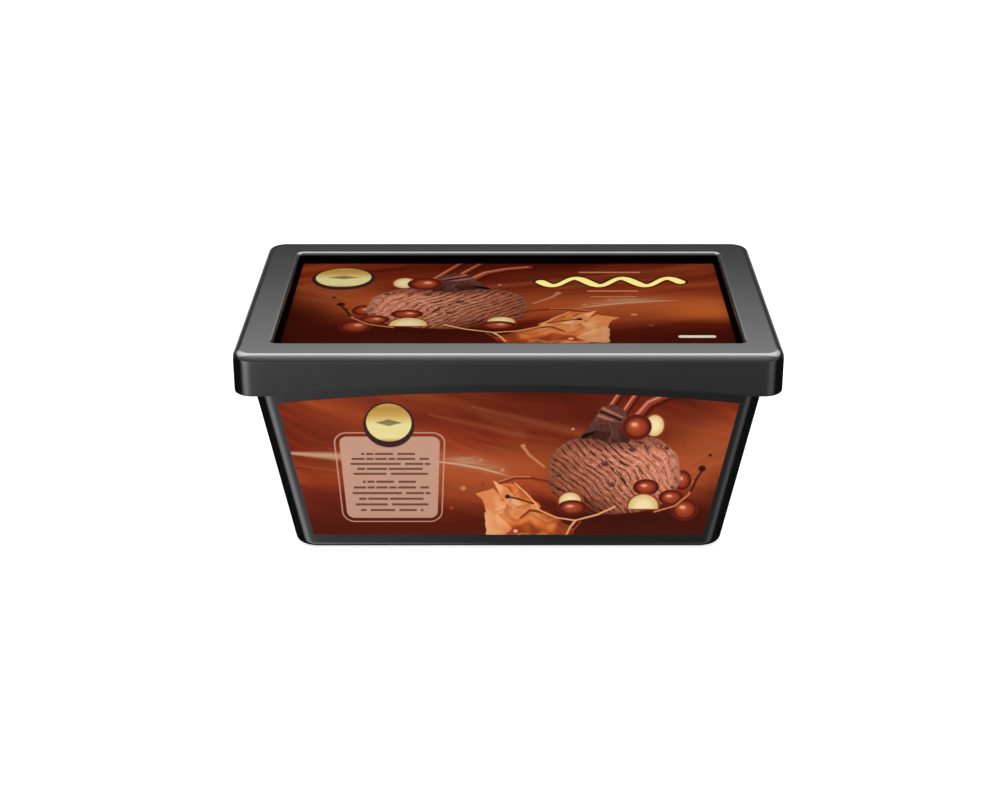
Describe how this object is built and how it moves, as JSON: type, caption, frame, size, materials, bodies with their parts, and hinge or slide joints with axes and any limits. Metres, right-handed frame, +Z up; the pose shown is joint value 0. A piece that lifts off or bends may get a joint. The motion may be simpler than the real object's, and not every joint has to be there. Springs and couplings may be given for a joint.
{
  "type": "ice cream tub",
  "caption": "Shut rectangular tapered tub of black plastic, with a deep-skirted lid, a sunken lid panel and printed labels on its lid and walls.",
  "frame": {"origin": "centre of the base, on the surface that the tub stands on", "axes": "+X along the length, +Y towards the back, +Z up; the front label faces -Y"},
  "size_m": [0.175, 0.113, 0.076],
  "materials": {
    "black_plastic": "satin moulded polypropylene",
    "label_print": "satin printed film"
  },
  "bodies": {
    "root": {"tub": "black_plastic", "lid": "black_plastic", "label_lid": "label_print", "label_front": "label_print", "label_back": "label_print", "label_left": "label_print", "label_right": "label_print"}
  },
  "joints": []
}
